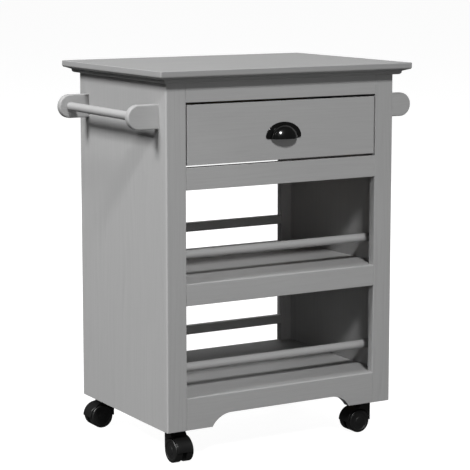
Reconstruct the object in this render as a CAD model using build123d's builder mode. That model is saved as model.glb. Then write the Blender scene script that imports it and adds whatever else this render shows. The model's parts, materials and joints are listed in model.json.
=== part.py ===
from build123d import *
import os
from math import cos, radians, sin

# Kitchen island cart: a painted pine cabinet on four swivel castors, with one drawer, two open
# shelves with gallery rails and a towel rail on each side.
# Row frame in millimetres: origin on the floor under the middle of the cart, front towards -Y,
# +X to the right and +Z up.

os.makedirs("parts", exist_ok=True)

# ---------------------------------------------------------------- driving dimensions
top_length = 600            # worktop, left to right
top_depth = 450             # worktop, front to back
total_height = 800
body_width = 545            # outside of the side panels
body_depth = 388            # front of the face frame to the back of the back frame
floor_gap = 70              # floor to the underside of the body
board = 18                  # thickness of every structural board
stile_width = 45
rail_height = 45
corner_round = 3.5          # outer vertical corners of the stiles
soft_edge = 1.2             # eased edges of boards
shelf_edge_round = 2.4      # upper edge of a rail level with a shelf

# worktop edge, from the top down: a rounded band, a sloping underside and a rounded foot
band_height = 14
band_top_round = 1.6
band_low_round = 4.5
underside_drop = 4
foot_inset = 15.6
foot_height = 7
foot_round = 5.5

# heights of the openings
shelf_tops = {"upper": 371, "lower": 137}
drawer_sill = 605           # top of the middle rail
drawer_head = 734.5         # underside of the top rail
back_panel_low = 560
arch_half_span = 167.5      # where the arch leaves the bottom edge
arch_half_flat = 122.5      # where it becomes level
arch_rise = 25.4

# shelves and gallery rails
cleat_width = 24
cleat_height = 18
cleat_length = 306
rod_radius = 9
rod_seat = 8                # depth of a rod end in its panel or bracket
gallery_lift = 50           # rail centre above its shelf
gallery_setback = 57        # front rod centre behind the front face
gallery_bar_height = 20
gallery_bar_round = 3

# towel rails
bracket_reach = 43          # rod centre out from the side panel
bracket_height = 50
bracket_thickness = 15
bracket_inset = 30          # bracket face in from the front and back of the body
bracket_z = 707
bracket_round = 3
bracket_screw_lift = 12

# drawer
drawer_gap = 2.5            # beside the drawer front
drawer_gap_z = 4.5          # above and below it
drawer_side_thickness = 15
drawer_side_low = 618
drawer_side_high = 708
drawer_box_back = 160
drawer_back_thickness = 12
drawer_bottom_z = 626
drawer_bottom_thickness = 4
groove_depth = 6            # grooves that hold the drawer bottom
panel_slack = 0.1           # the bottom is this much smaller than its grooves, all round
runner_height = 40
runner_low = 640
tongue_height = 14
tongue_reach = 10.2         # runner tongue beyond the runner block
tongue_end_gap = 4          # runner block to tongue, at each end
side_clearance = 1.0        # drawer side to runner block
slide_clearance = 0.3       # tongue to groove, above and at its end
slide_drop = 0.7            # tongue to groove, below

# cup pull
pull_width = 84
pull_height = 34
pull_z = 653                # lower edge
pull_flange = 2.2
pull_rim_top = 5.5          # flange left bare above the dome
pull_rim_side = 10.5        # and at each side of it
pull_depth = 21
pull_wall = 2.2
pull_corner = 4.5
pull_boss_radius = 4
pull_boss = 7               # length of the screw bosses inside the dome
pull_screw_spacing = 42
pull_screw_z = 662
pull_screw_head_radius = 3.8
pull_screw_head = 2.4
pull_screw_end_gap = 2      # screw end to the end of its boss

# dowels and screws
dowel_radius = 4
dowel_length = 30
dowel_edge = 12             # dowel centre in from the edge of a rail
three_dowel_height = 90     # boards taller than this have a third dowel
drawer_dowel_radius = 3
drawer_dowel_length = 16
screw_length = 40
screw_radius = 2
screw_head_radius = 4
screw_head_rim = 0.4
screw_point = 3
runner_screw_spacing = 120
cleat_screw_spacing = 180
recess_length = 4.4
recess_width = 0.9
recess_depth = 1.2

# castors
castor_inset_x = 42         # kingpin in from the side of the body
castor_inset_front = 46
castor_inset_back = 25
trail = 18                  # axle behind the kingpin
wheel_radius = 25
castor_half_width = 21
web_half = 4
wheel_gap = 0.6
wheel_round = 3             # outer corner of the tread
wheel_inner_round = 1.5
hub_groove_radius = 17
hub_groove = 0.8
axle_radius = 3
running_clearance = 0.05
axle_half_length = 16
axle_end_gap = 1            # axle end to the bottom of the wheel's bore
hood_radius = 28.5
hood_bore = 26.2
hood_half_width = 18
hood_back = 30              # flat back of the hood, from the axle
hood_top = 64.5
hood_shoulder = 9
hood_round = 1.5
hood_back_round = 3
axle_boss_radius = 11
kingpin_radius = 4
kingpin_low = 44
kingpin_end_gap = 1         # kingpin end to the bottom of its bore
kingpin_collar_radius = 8
kingpin_collar = 2.7
plate_size = 42
plate_thickness = 2.5
plate_corner = 5
plate_hole_spacing = 30
plate_hole_radius = 2.25
castor_screw_head_radius = 3.6
castor_screw_head = 2
castor_screw_length = 18
block_length = 58
block_width = 54
block_height = 30
top_block = 30
top_block_height = 20
top_block_y = 110           # block centre from the middle of the cart
top_screw_offset = 7.5      # screws off the block centre, so that they miss each other

# ---------------------------------------------------------------- places worked out from them
half_width = body_width / 2
front = -body_depth / 2
back = body_depth / 2
inner_x = half_width - board             # inside of a side panel
inner_y = back - board                   # inside of the back frame
opening_x = half_width - stile_width     # inner edge of a stile
foot_top = total_height - band_height - underside_drop
body_top = foot_top - foot_height
axle_z = wheel_radius
rod_y = front + gallery_setback
drawer_half = opening_x - drawer_gap
drawer_low = drawer_sill + drawer_gap_z
drawer_high = drawer_head - drawer_gap_z
drawer_side_outer = opening_x - side_clearance
drawer_side_inner = drawer_side_outer - drawer_side_thickness
drawer_side_mid = (drawer_side_inner + drawer_side_outer) / 2
tongue_low = runner_low + (runner_height - tongue_height) / 2
drawer_back_low = drawer_bottom_z + drawer_bottom_thickness
castor_screw_clear = floor_gap + 2 * dowel_edge      # lowest dowel above the castor screws

sides = {"left": -1, "right": 1}
ends = {"front": -1, "back": 1}
rail_spans = {
    "top_rail": (-1, drawer_head, body_top),
    "middle_rail": (-1, drawer_sill - rail_height, drawer_sill),
    "shelf_rail_front": (-1, shelf_tops["upper"] - rail_height, shelf_tops["upper"]),
    "bottom_rail_front": (-1, floor_gap, shelf_tops["lower"]),
    "back_panel": (1, back_panel_low, body_top),
    "shelf_rail_back": (1, shelf_tops["upper"] - rail_height, shelf_tops["upper"]),
    "bottom_rail_back": (1, floor_gap, shelf_tops["lower"]),
}
gallery_heights = {name: shelf_z + gallery_lift for name, shelf_z in shelf_tops.items()}
bar_spans = {
    name: (z - gallery_bar_height / 2, z + gallery_bar_height / 2)
    for name, z in gallery_heights.items()
}
castors = {
    "front_left": (-1, castor_inset_front + front, 0),
    "front_right": (1, castor_inset_front + front, -90),
    "back_left": (-1, back - castor_inset_back, -90),
    "back_right": (1, back - castor_inset_back, -90),
}


def save(piece, name):
    """Label a finished piece and write its STEP file."""
    piece.part.label = name
    export_step(piece.part, f"parts/{name}.step")


def dowel_heights(low, high):
    """Heights of the dowels in the end of a rail: two, or three in a wide board."""
    heights = [max(low + dowel_edge, castor_screw_clear), high - dowel_edge]
    if high - low > three_dowel_height:
        heights.append((low + high) / 2)
    return heights


def end_centre(end):
    """Y of the middle of the front or back frame's thickness."""
    return end * (back - board / 2)


def frame_dowel_points(end):
    """(y, z) of every dowel between the stiles and rails of the front or back frame."""
    spans = [(low, high) for rail_end, low, high in rail_spans.values() if rail_end == end]
    points = [(end_centre(end), z) for low, high in spans for z in dowel_heights(low, high)]
    if end == 1:
        points += [(end_centre(end), (low + high) / 2) for low, high in bar_spans.values()]
    return points


# ---------------------------------------------------------------- wood screw, used in many places
# It enters the wood along the +Z of the plane it is put on, with its head flush.
with BuildPart() as screw_blank:
    with BuildSketch(Plane.XZ):
        with BuildLine():
            Polyline(
                (0, 0), (screw_head_radius, 0), (screw_head_radius, screw_head_rim),
                (screw_radius, screw_head_rim + screw_head_radius - screw_radius),
                (screw_radius, screw_length - screw_point), (0, screw_length), close=True)
        make_face()
    revolve(axis=Axis.Z)

with BuildPart() as screw:
    add(screw_blank.part)
    with BuildSketch():
        Rectangle(recess_length, recess_width)
        Rectangle(recess_width, recess_length)
    extrude(amount=recess_depth, mode=Mode.SUBTRACT)


def screw_place(point, direction):
    """Where a wood screw's head centre is, and the way it points."""
    return Plane(origin=point, z_dir=direction).location


bracket_ys = [end * (back - bracket_inset - bracket_thickness / 2) for end in ends.values()]
bracket_screws = {
    side: [
        screw_place((side * inner_x, y, bracket_z + lift), (side, 0, 0))
        for y in bracket_ys
        for lift in (-bracket_screw_lift, bracket_screw_lift)
    ]
    for side in sides.values()
}
runner_screws = {
    side: [
        screw_place((side * opening_x, y, (runner_low + tongue_low) / 2), (side, 0, 0))
        for y in (-runner_screw_spacing, 0, runner_screw_spacing)
    ]
    for side in sides.values()
}
cleat_screws = {
    side: [
        screw_place((side * (inner_x - cleat_width), y, z - board - cleat_height / 2), (side, 0, 0))
        for y in (-cleat_screw_spacing / 2, cleat_screw_spacing / 2)
        for z in shelf_tops.values()
    ]
    for side in sides.values()
}
block_side_screws = {
    side: [
        screw_place((side * (inner_x - top_block), end * top_block_y + top_screw_offset,
                     body_top - top_block_height / 2), (side, 0, 0))
        for end in ends.values()
    ]
    for side in sides.values()
}
block_top_screws = [
    screw_place((side * (inner_x - top_block / 2), end * top_block_y - top_screw_offset,
                 body_top - top_block_height), (0, 0, 1))
    for side in sides.values()
    for end in ends.values()
]
side_screws = {
    side: bracket_screws[side] + runner_screws[side] + cleat_screws[side] + block_side_screws[side]
    for side in sides.values()
}

# ---------------------------------------------------------------- castor places
kingpins = {
    corner: (side * (half_width - castor_inset_x), y) for corner, (side, y, _) in castors.items()
}
castor_screw_points = [
    (x + dx, y + dy)
    for x, y in kingpins.values()
    for dx in (-plate_hole_spacing / 2, plate_hole_spacing / 2)
    for dy in (-plate_hole_spacing / 2, plate_hole_spacing / 2)
]


# ---------------------------------------------------------------- dowels of the front and back frames
with BuildPart() as frame_dowels:
    for end in ends.values():
        for side in sides.values():
            with BuildSketch(Plane.YZ.offset(side * opening_x)):
                with Locations(*frame_dowel_points(end)):
                    Circle(dowel_radius)
            extrude(amount=dowel_length / 2, both=True)
save(frame_dowels, "frame_dowels")

# ---------------------------------------------------------------- pan head screws of the castor plates
with BuildPart() as castor_screws:
    with BuildSketch(Plane.XY.offset(floor_gap - plate_thickness)):
        with Locations(*castor_screw_points):
            Circle(screw_radius)
    extrude(amount=castor_screw_length)
    with BuildSketch(Plane.XY.offset(floor_gap - plate_thickness)):
        with Locations(*castor_screw_points):
            Circle(castor_screw_head_radius)
    extrude(amount=-castor_screw_head)
    fillet(castor_screws.edges().group_by(Axis.Z)[0], castor_screw_head / 2)
    with BuildSketch(Plane.XY.offset(floor_gap - plate_thickness - castor_screw_head)):
        with Locations(*castor_screw_points):
            Rectangle(recess_length, recess_width)
            Rectangle(recess_width, recess_length)
    extrude(amount=recess_depth, mode=Mode.SUBTRACT)
save(castor_screws, "castor_screws")

# ---------------------------------------------------------------- worktop
with BuildPart() as tabletop:
    with BuildSketch(Plane.XY.offset(total_height - band_height)):
        RectangleRounded(top_length, top_depth, corner_round)
    extrude(amount=band_height)
    fillet(tabletop.faces().sort_by(Axis.Z)[-1].edges(), band_top_round)
    fillet(tabletop.faces().sort_by(Axis.Z)[0].edges(), band_low_round)
    with BuildSketch(Plane.XY.offset(total_height - band_height)):
        Rectangle(top_length - 2 * band_low_round, top_depth - 2 * band_low_round)
    with BuildSketch(Plane.XY.offset(foot_top)):
        Rectangle(top_length - 2 * foot_inset, top_depth - 2 * foot_inset)
    loft()
    with BuildSketch(Plane.XY.offset(foot_top)):
        Rectangle(top_length - 2 * foot_inset, top_depth - 2 * foot_inset)
    extrude(amount=-foot_height)
    fillet(tabletop.faces().sort_by(Axis.Z)[0].edges(), foot_round)
    with Locations(*block_top_screws):
        add(screw_blank.part, mode=Mode.SUBTRACT)
save(tabletop, "tabletop")


# ---------------------------------------------------------------- stiles of the front and back frames
def build_stile(side, end):
    """An upright of the face frame, with a rounded outer corner and its dowel holes."""
    outer = side * half_width
    with BuildPart() as stile:
        with BuildSketch(Plane.XY.offset(floor_gap)):
            with Locations((outer - side * stile_width / 2, end_centre(end))):
                Rectangle(stile_width, board)
        extrude(amount=body_top - floor_gap)
        uprights = stile.edges().filter_by(Axis.Z).sort_by(lambda edge: side * edge.center().X)
        outer_corner = uprights[-2:].sort_by(lambda edge: end * edge.center().Y)[-1]
        inner_corners = uprights[:2].sort_by(lambda edge: end * edge.center().Y)
        fillet(outer_corner, corner_round)
        fillet(inner_corners[-1], soft_edge)
        add(frame_dowels.part, mode=Mode.SUBTRACT)
        add(castor_screws.part, mode=Mode.SUBTRACT)
    return stile


for end_name, end in ends.items():
    for side_name, side in sides.items():
        save(build_stile(side, end), f"{end_name}_stile_{side_name}")


# ---------------------------------------------------------------- rails between the stiles
def build_rail(end, low, high, arched):
    """A rail of the front or back frame; the bottom ones have an arch under them."""
    arch_top = floor_gap + arch_rise
    with BuildPart() as rail:
        with BuildSketch(Plane.XZ.offset(-end_centre(end) - board / 2)):
            with BuildLine():
                if arched:
                    Polyline((0, high), (opening_x, high), (opening_x, low), (arch_half_span, low))
                    TangentArc((arch_half_flat, arch_top), (arch_half_span, low), tangent=(1, 0))
                    Line((arch_half_flat, arch_top), (0, arch_top))
                else:
                    Polyline((0, high), (opening_x, high), (opening_x, low), (0, low))
                mirror(about=Plane.YZ)
            make_face()
        extrude(amount=board)
        outside = rail.faces().filter_by(Axis.Y).sort_by(lambda face: end * face.center().Y)[-1]
        level = outside.edges().filter_by(Axis.X).sort_by(Axis.Z)
        fillet(level[-1], shelf_edge_round if high in shelf_tops.values() else soft_edge)
        if not arched:
            fillet(level[0], soft_edge)
        add(frame_dowels.part, mode=Mode.SUBTRACT)
        add(castor_screws.part, mode=Mode.SUBTRACT)
    return rail


for name, (end, low, high) in rail_spans.items():
    save(build_rail(end, low, high, arched=low == floor_gap), name)

# ---------------------------------------------------------------- gallery bars across the back
for name, (low, high) in bar_spans.items():
    with BuildPart() as gallery_bar:
        with BuildSketch(Plane.YZ):
            with Locations((end_centre(1), (low + high) / 2)):
                RectangleRounded(board, gallery_bar_height, gallery_bar_round)
        extrude(amount=opening_x, both=True)
        add(frame_dowels.part, mode=Mode.SUBTRACT)
    save(gallery_bar, f"gallery_bar_{name}_back")

# ---------------------------------------------------------------- side panels
for side_name, side in sides.items():
    with BuildPart() as side_panel:
        with BuildSketch(Plane.XY.offset(floor_gap)):
            with Locations((side * (half_width - board / 2), 0)):
                Rectangle(board, 2 * inner_y)
        extrude(amount=body_top - floor_gap)
        with BuildSketch(Plane.YZ.offset(side * inner_x)):
            with Locations(*[(rod_y, z) for z in gallery_heights.values()]):
                Circle(rod_radius)
        extrude(amount=side * rod_seat, mode=Mode.SUBTRACT)
        with Locations(*side_screws[side]):
            add(screw_blank.part, mode=Mode.SUBTRACT)
    save(side_panel, f"side_panel_{side_name}")

# ---------------------------------------------------------------- shelves and the cleats under them
for name, shelf_z in shelf_tops.items():
    with BuildPart() as shelf:
        with BuildSketch(Plane.XY.offset(shelf_z - board)):
            Rectangle(2 * inner_x, 2 * inner_y)
        extrude(amount=board)
    save(shelf, f"{name}_shelf")

with BuildPart() as shelf_cleats:
    for side in sides.values():
        for shelf_z in shelf_tops.values():
            with BuildSketch(Plane.XY.offset(shelf_z - board - cleat_height)):
                with Locations((side * (inner_x - cleat_width / 2), 0)):
                    Rectangle(cleat_width, cleat_length)
            extrude(amount=cleat_height)
        with Locations(*cleat_screws[side]):
            add(screw_blank.part, mode=Mode.SUBTRACT)
save(shelf_cleats, "shelf_cleats")

# ---------------------------------------------------------------- gallery rods across the front
for name, z in gallery_heights.items():
    with BuildPart() as gallery_rod:
        with BuildSketch(Plane.YZ):
            with Locations((rod_y, z)):
                Circle(rod_radius)
        extrude(amount=inner_x + rod_seat, both=True)
    save(gallery_rod, f"gallery_rod_{name}_front")


# ---------------------------------------------------------------- towel rails
def build_bracket(side, end):
    """A round-ended plate on the side panel, with a blind seat for the towel rod."""
    near = end * (back - bracket_inset)
    far = near - end * bracket_thickness
    rod_x = side * (half_width + bracket_reach)
    with BuildPart() as bracket:
        with BuildSketch(Plane.XZ.offset(-max(near, far))):
            with Locations((side * (half_width + bracket_reach / 2), bracket_z)):
                Rectangle(bracket_reach, bracket_height)
            with Locations((rod_x, bracket_z)):
                Circle(bracket_height / 2)
        extrude(amount=bracket_thickness)
        rims = bracket.faces().filter_by(Axis.Y).edges()
        free_rims = rims.filter_by(lambda edge: abs(edge.center().X) > half_width + soft_edge)
        fillet(free_rims, bracket_round)
        with BuildSketch(Plane.XZ.offset(-far)):
            with Locations((rod_x, bracket_z)):
                Circle(rod_radius)
        extrude(amount=-end * rod_seat, mode=Mode.SUBTRACT)
        with Locations(*bracket_screws[side]):
            add(screw_blank.part, mode=Mode.SUBTRACT)
    return bracket


for side_name, side in sides.items():
    for end_name, end in ends.items():
        save(build_bracket(side, end), f"towel_bracket_{side_name}_{end_name}")
    with BuildPart() as towel_rod:
        with BuildSketch(Plane.XZ):
            with Locations((side * (half_width + bracket_reach), bracket_z)):
                Circle(rod_radius)
        extrude(amount=back - bracket_inset - bracket_thickness + rod_seat, both=True)
    save(towel_rod, f"towel_rod_{side_name}")

# ---------------------------------------------------------------- drawer runners, on the side panels
for side_name, side in sides.items():
    with BuildPart() as drawer_runner:
        with BuildSketch(Plane.XZ.offset(-inner_y)):
            with Locations((side * (opening_x + inner_x) / 2, runner_low + runner_height / 2)):
                Rectangle(inner_x - opening_x, runner_height)
        extrude(amount=2 * inner_y)
        with BuildSketch(Plane.XZ.offset(-(inner_y - tongue_end_gap))):
            with Locations((side * (opening_x - tongue_reach / 2), runner_low + runner_height / 2)):
                Rectangle(tongue_reach, tongue_height)
        extrude(amount=2 * (inner_y - tongue_end_gap))
        with Locations(*runner_screws[side]):
            add(screw_blank.part, mode=Mode.SUBTRACT)
    save(drawer_runner, f"drawer_runner_{side_name}")

# ---------------------------------------------------------------- blocks that hold the worktop
with BuildPart() as top_blocks:
    with BuildSketch(Plane.XY.offset(body_top)):
        with GridLocations(2 * inner_x - top_block, 2 * top_block_y, 2, 2):
            Rectangle(top_block, top_block)
    extrude(amount=-top_block_height)
    with Locations(*block_top_screws, *block_side_screws[-1], *block_side_screws[1]):
        add(screw_blank.part, mode=Mode.SUBTRACT)
save(top_blocks, "top_blocks")

wood_screw_places = list(block_top_screws)
for side in sides.values():
    wood_screw_places += side_screws[side]
with BuildPart() as wood_screws:
    with Locations(*wood_screw_places):
        add(screw.part)
save(wood_screws, "wood_screws")

# ---------------------------------------------------------------- drawer
# Dowels join the drawer front and back to the sides.
drawer_dowel_zs = (drawer_back_low + dowel_edge, drawer_side_high - dowel_edge)
drawer_back_mid = drawer_box_back - drawer_back_thickness / 2
with BuildPart() as drawer_dowels:
    with BuildSketch(Plane.XZ.offset(-(front + board))):
        with GridLocations(2 * drawer_side_mid, 1, 2, 1):
            with Locations(*[(0, z) for z in drawer_dowel_zs]):
                Circle(drawer_dowel_radius)
    extrude(amount=drawer_dowel_length / 2, both=True)
    for side in sides.values():
        with BuildSketch(Plane.YZ.offset(side * drawer_side_inner)):
            with Locations(*[(drawer_back_mid, z) for z in drawer_dowel_zs]):
                Circle(drawer_dowel_radius)
        extrude(amount=drawer_dowel_length / 2, both=True)
save(drawer_dowels, "drawer_dowels")

with BuildPart() as cup_pull_screws:
    with BuildSketch(Plane.XZ.offset(-(front + board))):
        with Locations((0, pull_screw_z)):
            with GridLocations(pull_screw_spacing, 1, 2, 1):
                Circle(pull_screw_head_radius)
    extrude(amount=-pull_screw_head)
    fillet(cup_pull_screws.edges().group_by(Axis.Y)[-1], pull_screw_head / 3)
    with BuildSketch(Plane.XZ.offset(-(front + board))):
        with Locations((0, pull_screw_z)):
            with GridLocations(pull_screw_spacing, 1, 2, 1):
                Circle(screw_radius)
    extrude(amount=board + pull_boss - pull_screw_end_gap)
    with BuildSketch(Plane.XZ.offset(-(front + board + pull_screw_head))):
        with Locations((0, pull_screw_z)):
            with GridLocations(pull_screw_spacing, 1, 2, 1):
                Rectangle(recess_length, recess_width)
                Rectangle(recess_width, recess_length)
    extrude(amount=recess_depth, mode=Mode.SUBTRACT)
save(cup_pull_screws, "cup_pull_screws")

with BuildPart() as drawer_front:
    with BuildSketch(Plane.XZ.offset(-(front + board))):
        with Locations((0, (drawer_low + drawer_high) / 2)):
            Rectangle(2 * drawer_half, drawer_high - drawer_low)
    extrude(amount=board)
    fillet(drawer_front.faces().sort_by(Axis.Y)[0].edges(), soft_edge)
    with BuildSketch(Plane.XZ.offset(-(front + board))):
        with Locations((0, drawer_bottom_z + drawer_bottom_thickness / 2)):
            Rectangle(2 * (drawer_side_inner + groove_depth), drawer_bottom_thickness)
    extrude(amount=groove_depth, mode=Mode.SUBTRACT)
    add(drawer_dowels.part, mode=Mode.SUBTRACT)
    add(cup_pull_screws.part, mode=Mode.SUBTRACT)
save(drawer_front, "drawer_front")

for side_name, side in sides.items():
    with BuildPart() as drawer_side:
        with BuildSketch(Plane.XZ.offset(-drawer_box_back)):
            with Locations((side * drawer_side_mid, (drawer_side_low + drawer_side_high) / 2)):
                Rectangle(drawer_side_thickness, drawer_side_high - drawer_side_low)
            with Locations((side * drawer_side_inner, drawer_bottom_z + drawer_bottom_thickness / 2)):
                Rectangle(2 * groove_depth, drawer_bottom_thickness, mode=Mode.SUBTRACT)
            tongue_end = opening_x - tongue_reach - slide_clearance
            slide_low = tongue_low - slide_drop
            slide_high = tongue_low + tongue_height + slide_clearance
            with Locations((side * (tongue_end + drawer_side_outer) / 2, (slide_low + slide_high) / 2)):
                Rectangle(drawer_side_outer - tongue_end, slide_high - slide_low, mode=Mode.SUBTRACT)
        extrude(amount=drawer_box_back - front - board)
        fillet(drawer_side.edges().filter_by(Axis.Y).group_by(Axis.Z)[-1], soft_edge)
        add(drawer_dowels.part, mode=Mode.SUBTRACT)
    save(drawer_side, f"drawer_side_{side_name}")

with BuildPart() as drawer_back:
    with BuildSketch(Plane.XZ.offset(-drawer_box_back)):
        with Locations((0, (drawer_back_low + drawer_side_high) / 2)):
            Rectangle(2 * drawer_side_inner, drawer_side_high - drawer_back_low)
    extrude(amount=drawer_back_thickness)
    fillet(drawer_back.edges().filter_by(Axis.X).group_by(Axis.Z)[-1], soft_edge)
    add(drawer_dowels.part, mode=Mode.SUBTRACT)
save(drawer_back, "drawer_back")

with BuildPart() as drawer_bottom:
    with BuildSketch(Plane.XY.offset(drawer_bottom_z + panel_slack)):
        bottom_front = front + board - groove_depth + panel_slack
        bottom_half = drawer_side_inner + groove_depth - panel_slack
        with Locations((0, (bottom_front + drawer_box_back) / 2)):
            Rectangle(2 * bottom_half, drawer_box_back - bottom_front)
    extrude(amount=drawer_bottom_thickness - 2 * panel_slack)
save(drawer_bottom, "drawer_bottom")

# ---------------------------------------------------------------- cup pull
# A flat flange with an arched top, and a hollow half dome that is open underneath.
dome_half_width = pull_width / 2 - pull_rim_side
dome_height = pull_height - pull_rim_top
unit_ball = Sphere(1)
dome_outside = scale(unit_ball, by=(dome_half_width, pull_depth, dome_height))
cavity = (dome_half_width - pull_wall, pull_depth - pull_wall, dome_height - pull_wall)
dome_inside = scale(unit_ball, by=cavity)
with BuildPart() as cup_pull:
    with BuildSketch(Plane.XZ.offset(-front)):
        with BuildLine():
            Polyline((-pull_width / 2, pull_z + pull_corner), (-pull_width / 2, pull_z),
                     (pull_width / 2, pull_z), (pull_width / 2, pull_z + pull_corner))
            EllipticalCenterArc((0, pull_z + pull_corner), pull_width / 2, pull_height - pull_corner,
                                start_angle=0, arc_size=180)
        make_face()
    extrude(amount=pull_flange)
    low_corners = cup_pull.edges().filter_by(Axis.Y).group_by(Axis.Z)[0]
    fillet(low_corners, pull_corner - soft_edge)
    with Locations((0, front, pull_z)):
        add(dome_outside)
        add(dome_inside, mode=Mode.SUBTRACT)
    with BuildSketch(Plane.XZ.offset(-front)):
        with Locations((0, pull_screw_z)):
            with GridLocations(pull_screw_spacing, 1, 2, 1):
                Circle(pull_boss_radius)
    extrude(amount=pull_boss)
    split(bisect_by=Plane.XZ.offset(-front), keep=Keep.TOP)
    split(bisect_by=Plane.XY.offset(pull_z), keep=Keep.TOP)
    add(cup_pull_screws.part, mode=Mode.SUBTRACT)
save(cup_pull, "cup_pull")

# ---------------------------------------------------------------- castors
with BuildPart() as castor_blocks:
    with BuildSketch(Plane.XY.offset(floor_gap)):
        with GridLocations(2 * inner_x - block_width, 2 * inner_y - block_length, 2, 2):
            Rectangle(block_width, block_length)
    extrude(amount=block_height)
    add(castor_screws.part, mode=Mode.SUBTRACT)
save(castor_blocks, "castor_blocks")

with BuildPart() as castor_plates:
    with BuildSketch(Plane.XY.offset(floor_gap - plate_thickness)):
        with Locations(*kingpins.values()):
            RectangleRounded(plate_size, plate_size, plate_corner)
            Circle(kingpin_radius, mode=Mode.SUBTRACT)
        with Locations(*castor_screw_points):
            Circle(plate_hole_radius, mode=Mode.SUBTRACT)
    extrude(amount=plate_thickness)
save(castor_plates, "castor_plates")

with BuildPart() as castor_kingpins:
    with BuildSketch(Plane.XY.offset(kingpin_low)):
        with Locations(*kingpins.values()):
            Circle(kingpin_radius)
    extrude(amount=floor_gap - kingpin_low)
    chamfer(castor_kingpins.edges().group_by(Axis.Z)[0], soft_edge)
    with BuildSketch(Plane.XY.offset(floor_gap - plate_thickness - kingpin_collar)):
        with Locations(*kingpins.values()):
            Circle(kingpin_collar_radius)
    extrude(amount=kingpin_collar)
save(castor_kingpins, "castor_kingpins")


def build_hood(side_plane, kingpin_plane):
    """Cover over both wheels, with a web between them and a block round the kingpin."""
    shoulder = hood_top - axle_z
    with BuildPart() as hood:
        with BuildSketch(side_plane):
            with BuildLine():
                CenterArc((0, 0), hood_radius, 90, 90)
                Polyline((-hood_radius, 0), (hood_back, 0), (hood_back, shoulder),
                         (hood_shoulder, shoulder), (0, hood_radius))
            make_face()
            fillet(vertices().group_by(Axis.X)[-1].sort_by(Axis.Y)[-1], hood_back_round)
        extrude(amount=hood_half_width, both=True)
        rims = hood.faces().filter_by(side_plane).edges()
        fillet(rims, hood_round)
        for wheel_side in (-1, 1):
            with BuildSketch(side_plane.offset(wheel_side * web_half)):
                Circle(hood_bore)
            extrude(amount=wheel_side * (castor_half_width - web_half), mode=Mode.SUBTRACT)
        with BuildSketch(side_plane):
            Circle(axle_boss_radius)
        extrude(amount=web_half, both=True)
        with BuildSketch(side_plane):
            Circle(axle_radius)
        extrude(amount=web_half, both=True, mode=Mode.SUBTRACT)
        with BuildSketch(kingpin_plane.offset(hood_top)):
            Circle(kingpin_radius + running_clearance)
        extrude(amount=kingpin_low - kingpin_end_gap - hood_top, mode=Mode.SUBTRACT)
    return hood


def build_wheel(side_plane, wheel_side):
    """One of the two wheels: rounded tread, blind bore, grooved outer face with a raised cap."""
    near = web_half + wheel_gap
    bore = axle_radius + running_clearance
    bore_end = axle_half_length + axle_end_gap
    profile_plane = Plane(origin=side_plane.origin, x_dir=side_plane.y_dir, z_dir=side_plane.x_dir)
    with BuildPart() as wheel:
        with BuildSketch(profile_plane):
            with BuildLine():
                Polyline(
                    (bore, near), (wheel_radius, near), (wheel_radius, castor_half_width),
                    (hub_groove_radius + hub_groove, castor_half_width),
                    (hub_groove_radius, castor_half_width - hub_groove),
                    (hub_groove_radius - hub_groove, castor_half_width),
                    (0, castor_half_width), (0, bore_end), (bore, bore_end), close=True)
            make_face()
            fillet(vertices().group_by(Axis.X)[-1].sort_by(Axis.Y)[-1], wheel_round)
            fillet(vertices().group_by(Axis.X)[-1].sort_by(Axis.Y)[0], wheel_inner_round)
        revolve(axis=Axis(side_plane.origin, side_plane.z_dir))
        if wheel_side == -1:
            mirror(about=side_plane, mode=Mode.REPLACE)
    return wheel


for corner, (_, _, heading) in castors.items():
    x, y = kingpins[corner]
    across = (cos(radians(heading)), sin(radians(heading)), 0)
    kingpin_plane = Plane(origin=(x, y, 0), x_dir=across, z_dir=(0, 0, 1))
    axle_centre = kingpin_plane.from_local_coords((0, -trail, axle_z))
    side_plane = Plane(origin=axle_centre, x_dir=kingpin_plane.y_dir, z_dir=kingpin_plane.x_dir)
    save(build_hood(side_plane, kingpin_plane), f"castor_hood_{corner}")
    with BuildPart() as castor_axle:
        with BuildSketch(side_plane):
            Circle(axle_radius)
        extrude(amount=axle_half_length, both=True)
    save(castor_axle, f"castor_axle_{corner}")
    for wheel_name, wheel_side in (("a", 1), ("b", -1)):
        save(build_wheel(side_plane, wheel_side), f"castor_wheel_{corner}_{wheel_name}")
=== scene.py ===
import itertools
import json
import math

import bmesh
import bpy
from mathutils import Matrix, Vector

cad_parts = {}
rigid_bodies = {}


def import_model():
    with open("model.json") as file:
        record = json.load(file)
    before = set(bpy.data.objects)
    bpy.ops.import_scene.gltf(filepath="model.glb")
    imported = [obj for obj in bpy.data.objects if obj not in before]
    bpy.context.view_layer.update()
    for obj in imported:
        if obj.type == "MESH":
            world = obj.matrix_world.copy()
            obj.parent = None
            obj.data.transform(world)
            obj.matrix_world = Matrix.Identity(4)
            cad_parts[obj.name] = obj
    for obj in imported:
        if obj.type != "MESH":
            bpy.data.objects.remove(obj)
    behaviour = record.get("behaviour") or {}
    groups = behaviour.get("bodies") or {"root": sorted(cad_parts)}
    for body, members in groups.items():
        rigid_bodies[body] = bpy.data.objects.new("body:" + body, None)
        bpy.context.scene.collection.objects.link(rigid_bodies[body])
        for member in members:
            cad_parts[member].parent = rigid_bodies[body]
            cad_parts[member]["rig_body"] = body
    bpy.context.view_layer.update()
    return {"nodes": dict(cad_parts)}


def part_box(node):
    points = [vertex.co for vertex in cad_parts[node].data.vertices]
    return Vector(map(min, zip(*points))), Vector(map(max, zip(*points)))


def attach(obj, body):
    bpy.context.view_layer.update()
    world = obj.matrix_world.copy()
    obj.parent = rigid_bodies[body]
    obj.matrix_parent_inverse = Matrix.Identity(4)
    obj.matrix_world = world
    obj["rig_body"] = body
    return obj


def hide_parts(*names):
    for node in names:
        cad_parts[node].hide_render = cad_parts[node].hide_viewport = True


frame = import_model()
nodes = frame["nodes"]
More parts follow.
